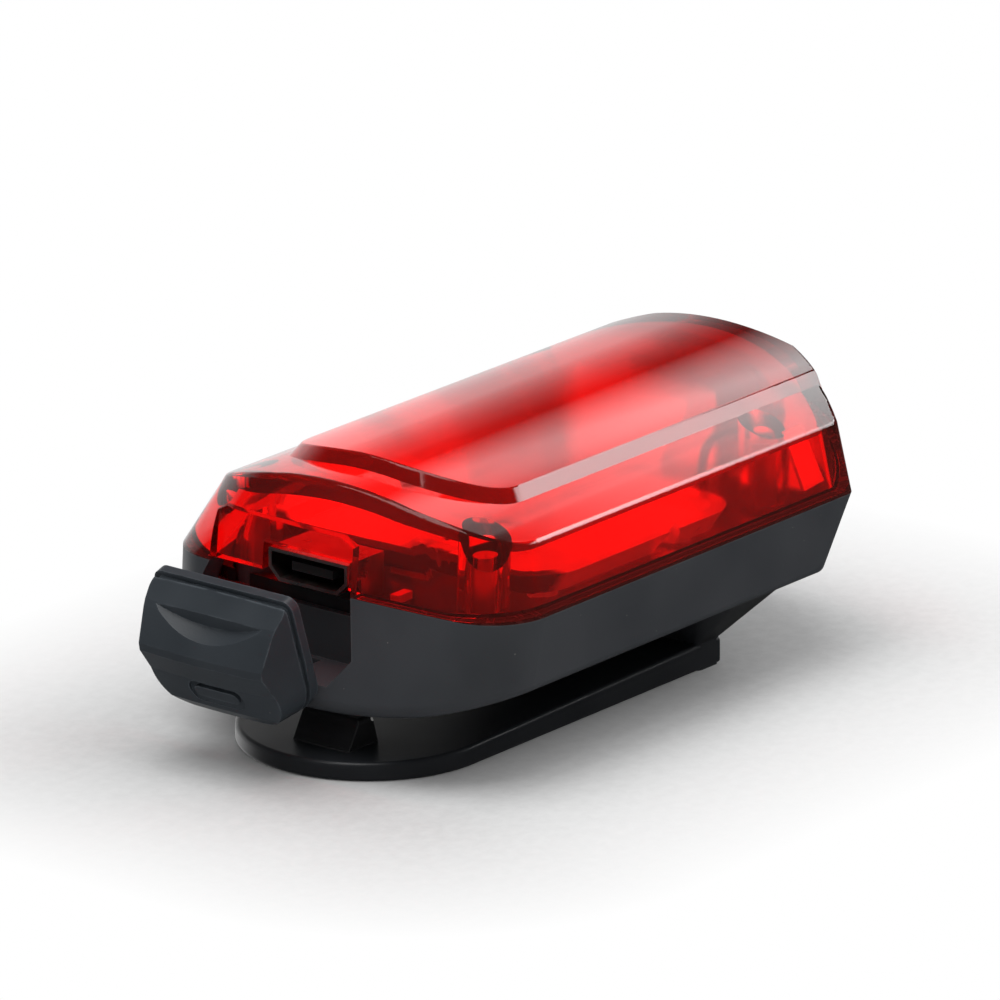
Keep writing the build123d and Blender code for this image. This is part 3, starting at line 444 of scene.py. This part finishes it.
def side_reflector(name, side, stations):
    """Bright plate inside a side wall, leaning with it; its end follows the round end."""
    foot_y, foot_z, height, lean, thickness = 13.75, 12.95, 3.6, 1.65, 0.35
    bend_x, bend_slope = 19.4, 0.14
    end_lean, rim, levels = 0.3, 0.08, 5
    shape = bmesh.new()
    rows = []
    for step in range(levels + 1):
        share = step / levels
        z = foot_z + height * share
        skins = []
        for inwards in (0.0, thickness):
            skin = []
            for x in stations:
                if x == stations[-1]:
                    x -= end_lean * share
                y = foot_y - lean * share - inwards - bend_slope * max(x - bend_x, 0.0)
                skin.append(shape.verts.new((x * MM, side * y * MM, z * MM)))
            skins.append(skin)
        rows.append(skins)
    last = len(stations) - 1
    for low, high in zip(rows, rows[1:]):
        for skin in (0, 1):
            for a in range(last):
                shape.faces.new((low[skin][a], low[skin][a + 1], high[skin][a + 1], high[skin][a]))
        for a in (0, last):
            shape.faces.new((low[0][a], high[0][a], high[1][a], low[1][a]))
    for outer, inner in (rows[0], rows[-1]):
        for a in range(last):
            shape.faces.new((outer[a], outer[a + 1], inner[a + 1], inner[a]))
    soften_edges(shape, sharp_angle=0.9, rim=rim)
    finish_reflector(name, shape)


def make_side_reflectors():
    long_wall, round_end = (-8.0, -3.0, 1.6, 6.0, 10.5, 15.0), (19.4, 20.4, 21.4, 22.4)
    side_reflector("side_reflector_near", -1.0, round_end)
    side_reflector("side_reflector_far", 1.0, long_wall + round_end)


# studio

def grid_sheet(name, cells, size, stretch=(1.0, 1.0, 1.0)):
    """Flat sheet twice the size across, times the stretch; returns its mesh and object."""
    mesh = bpy.data.meshes.new(name)
    shape = bmesh.new()
    bmesh.ops.create_grid(shape, x_segments=cells, y_segments=cells, size=size)
    bmesh.ops.scale(shape, vec=stretch, verts=shape.verts)
    shape.to_mesh(mesh)
    shape.free()
    return mesh, add_object(name, mesh)


def studio_floor():
    """Plain pale floor that runs out into white beyond a rounded box round the light."""
    half_box = (26.0 * MM, 13.0 * MM, 0.0)
    fade_from, fade_to = 3.0 * MM, 26.0 * MM
    dull_white, bright_white = (0.76, 0.76, 0.76), (0.82, 0.82, 0.82)

    mesh, floor = grid_sheet("studio_floor", cells=24, size=1.5)
    material, tree, shader = surface("pale_floor", 0.55)
    place = own_place(tree)
    cloud = noise(tree, place, scale=900.0, detail=5.0, rough=0.65)
    tone = blend_colour(tree, ramp(tree, cloud, *DRIFT_SPAN), dull_white, bright_white)
    feed(tree, shader.inputs["Base Color"], tone)
    bump(tree, shader, cloud, 0.08 * MM, 0.3)
    outwards = vector_calc(tree, "ABSOLUTE", place)["Vector"]
    outwards = vector_calc(tree, "SUBTRACT", outwards, half_box)["Vector"]
    outwards = vector_calc(tree, "MAXIMUM", outwards)["Vector"]
    fade = ramp(tree, vector_calc(tree, "LENGTH", outwards)["Value"], fade_from, fade_to)
    seen = put(tree, "ShaderNodeLightPath").outputs
    shown = calc(tree, "MAXIMUM", seen["Is Camera Ray"], seen["Is Glossy Ray"])
    shown = calc(tree, "MAXIMUM", shown, seen["Is Transmission Ray"])
    glow = put(tree, "ShaderNodeEmission", {"Color": WHITE, "Strength": 1.0})
    both = put(tree, "ShaderNodeMixShader", {
        0: calc(tree, "MULTIPLY", fade, shown), 1: shader.outputs[0], 2: glow.outputs[0]})
    feed(tree, output_of(tree).inputs["Surface"], both.outputs[0])
    mesh.materials.append(material)
    floor.visible_glossy = False


def studio_world():
    """White to the eye and through clear plastic; gloss sees a white backdrop only low behind."""
    backdrop_way = (0.423, 0.906, 0.0)
    backdrop_low, backdrop_high = 0.17, 0.43
    backdrop_aside, backdrop_middle = 0.68, 0.90
    low_level, high_level, aside_level = 0.9, 0.07, 0.04
    soft_level = 0.42

    scene.world = bpy.data.worlds.new("studio")
    tree = blank_tree(scene.world)
    seen = put(tree, "ShaderNodeLightPath").outputs
    way = put(tree, "ShaderNodeTexCoord").outputs["Generated"]
    low = ramp(tree, axes(tree, way)["Z"], backdrop_low, backdrop_high, low_level, high_level)
    facing = vector_calc(tree, "DOT_PRODUCT", way, backdrop_way)["Value"]
    behind = ramp(tree, facing, backdrop_aside, backdrop_middle, aside_level, 1.0)
    backdrop = calc(tree, "MULTIPLY", calc(tree, "MULTIPLY", low, behind), seen["Is Glossy Ray"])
    open_air = calc(tree, "MAXIMUM", seen["Is Camera Ray"], seen["Is Transmission Ray"])
    soft_air = calc(tree, "MULTIPLY", seen["Is Diffuse Ray"], soft_level)
    strength = calc(tree, "MAXIMUM", open_air, calc(tree, "MAXIMUM", soft_air, backdrop))
    sky = put(tree, "ShaderNodeBackground", {"Color": WHITE, "Strength": strength})
    put(tree, "ShaderNodeOutputWorld", {"Surface": sky.outputs[0]})


def turn_to(piece, place, target, front):
    """Puts a piece at a place with its front axis towards the target."""
    piece.location = place
    way = Vector(target) - Vector(place)
    piece.rotation_euler = way.to_track_quat(front, "Y").to_euler()


def reflector_card(name, place, target, width, height, levels, soft_ends, soft_edges):
    """White card that only gloss sees, level inside and fading out over its rim."""
    mesh, card = grid_sheet(name, cells=8, size=0.5, stretch=(width, height, 1.0))
    turn_to(card, place, target, "Z")
    material = bpy.data.materials.new(name)
    tree = blank_tree(material)
    where = axes(tree, own_place(tree))
    shares = []
    for axis, size, soft in (("X", width, soft_ends), ("Y", height, soft_edges)):
        aside = calc(tree, "ABSOLUTE", where[axis])
        shares.append(ramp(tree, aside, size / 2 - soft, size / 2, 1.0, 0.0))
    level = ramp(tree, where["X"], -width / 2, width / 2, *levels)
    glow = put(tree, "ShaderNodeEmission", {"Strength": level})
    clear = put(tree, "ShaderNodeBsdfTransparent")
    both = put(tree, "ShaderNodeMixShader", {
        0: calc(tree, "MULTIPLY", *shares), 1: clear.outputs[0], 2: glow.outputs[0]})
    put(tree, "ShaderNodeOutputMaterial", {"Surface": both.outputs[0]})
    mesh.materials.append(material)
    for ray in ("camera", "diffuse", "shadow", "transmission"):
        setattr(card, "visible_" + ray, False)


def soft_lamp(name, place, target, width, height, power, seen_in_gloss=True):
    lamp = bpy.data.lights.new(name, "AREA")
    lamp.shape = "RECTANGLE"
    lamp.size, lamp.size_y = width, height
    lamp.energy = power
    piece = add_object(name, lamp)
    turn_to(piece, place, target, "-Z")
    piece.visible_camera = False
    piece.visible_glossy = seen_in_gloss


def photo_camera():
    """Camera at the photo's angle: turned to the charging end, a little above, far away."""
    turn, rise, roll = radians(-51.358), radians(18.199), radians(-0.147)
    aim, distance = Vector((0.0, -0.719 * MM, 14.883 * MM)), 911.54 * MM
    back = Vector((sin(turn) * cos(rise), -cos(turn) * cos(rise), sin(rise)))
    right = Vector((cos(turn), sin(turn), 0.0))
    up = back.cross(right)
    right, up = cos(roll) * right + sin(roll) * up, cos(roll) * up - sin(roll) * right
    camera = bpy.data.cameras.new("photo_camera")
    camera.sensor_width = 36.0
    camera.lens = 439.9
    camera.clip_start = 0.05
    camera.clip_end = 20.0
    piece = add_object("photo_camera", camera)
    spot = aim + distance * back
    piece.matrix_world = Matrix((
        (right.x, up.x, back.x, spot.x),
        (right.y, up.y, back.y, spot.y),
        (right.z, up.z, back.z, spot.z),
        (0.0, 0.0, 0.0, 1.0),
    ))
    scene.camera = piece


def make_studio():
    middle = (0.0, 0.0, 10.0 * MM)
    studio_floor()
    studio_world()
    photo_camera()
    soft_lamp("overhead_softbox", (-0.08, 0.06, 0.60), middle, width=0.5, height=0.5, power=2.0)
    soft_lamp("key_softbox", (0.40, -0.23, 0.27), middle, width=0.26, height=0.18, power=0.8,
              seen_in_gloss=False)
    reflector_card("key_card", (0.955, -0.084, 0.608), middle, width=1.49, height=0.437,
                   levels=(1.9, 11.0), soft_ends=0.37, soft_edges=0.082)
    scene.view_settings.view_transform = "Standard"


dress_nodes()
make_rear_reflector()
make_dark_hook_tube()
make_side_reflectors()
make_studio()
